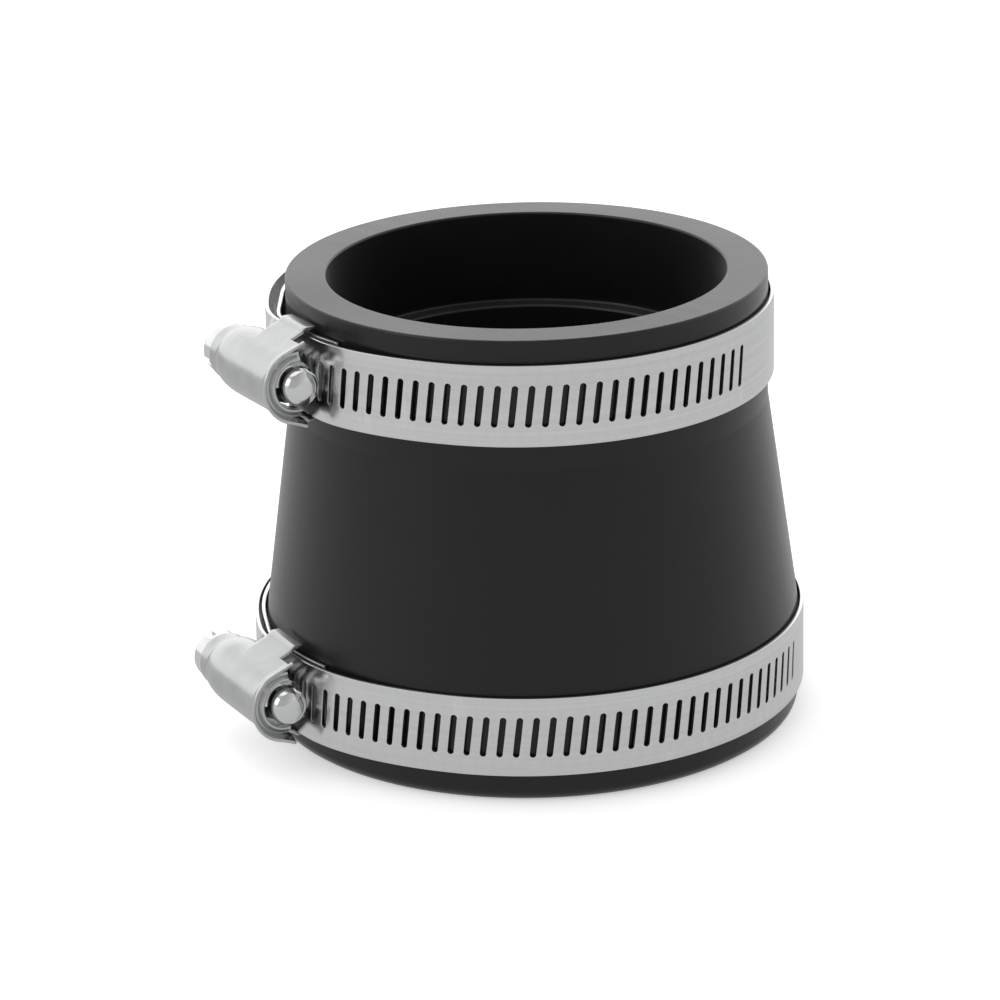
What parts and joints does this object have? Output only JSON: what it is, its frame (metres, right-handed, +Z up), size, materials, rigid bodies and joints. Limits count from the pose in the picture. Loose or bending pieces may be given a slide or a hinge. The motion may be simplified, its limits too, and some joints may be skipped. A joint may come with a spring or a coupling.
{
  "type": "flexible reducing pipe coupling",
  "caption": "Black rubber reducing sleeve with an open bore, clamped at each end by a slotted steel band with a worm screw in a stamped housing.",
  "frame": {"origin": "on the bore axis at the face of the large end, where the sleeve stands", "axes": "+Z up along the bore axis from the large end to the small end; +X to the right and +Y to the back when both screw tips face front left"},
  "size_m": [0.0973, 0.0866, 0.072],
  "materials": {
    "rubber": "matt moulded black rubber",
    "band_steel": "stainless strip, brushed along its length",
    "housing_steel": "satin pressed stainless steel",
    "saddle_steel": "stainless strip, brushed along its length",
    "screw_steel": "bright plated steel"
  },
  "bodies": {
    "sleeve": {"rubber_sleeve": "rubber"},
    "upper_clamp": {"upper_band": "band_steel", "upper_saddle": "saddle_steel", "upper_housing": "housing_steel"},
    "upper_screw": {"upper_screw": "screw_steel"},
    "lower_clamp": {"lower_band": "band_steel", "lower_saddle": "saddle_steel", "lower_housing": "housing_steel"},
    "lower_screw": {"lower_screw": "screw_steel"}
  },
  "joints": [
    {"name": "upper_clamp_swivel", "type": "hinge", "parent": "sleeve", "child": "upper_clamp", "pos_m": [0, 0, 0.0621], "axis": [0, 0, 1], "continuous": true},
    {"name": "upper_screw_turn", "type": "hinge", "parent": "upper_clamp", "child": "upper_screw", "pos_m": [-0.03795, -0.02107, 0.06213], "axis": [-0.4923, 0.8702, -0.0175], "continuous": true},
    {"name": "lower_clamp_swivel", "type": "hinge", "parent": "sleeve", "child": "lower_clamp", "pos_m": [0, 0, 0.01105], "axis": [0, 0, 1], "continuous": true},
    {"name": "lower_screw_turn", "type": "hinge", "parent": "lower_clamp", "child": "lower_screw", "pos_m": [-0.04152, -0.02389, 0.01165], "axis": [-0.4924, 0.8703, 0.0105], "continuous": true}
  ]
}
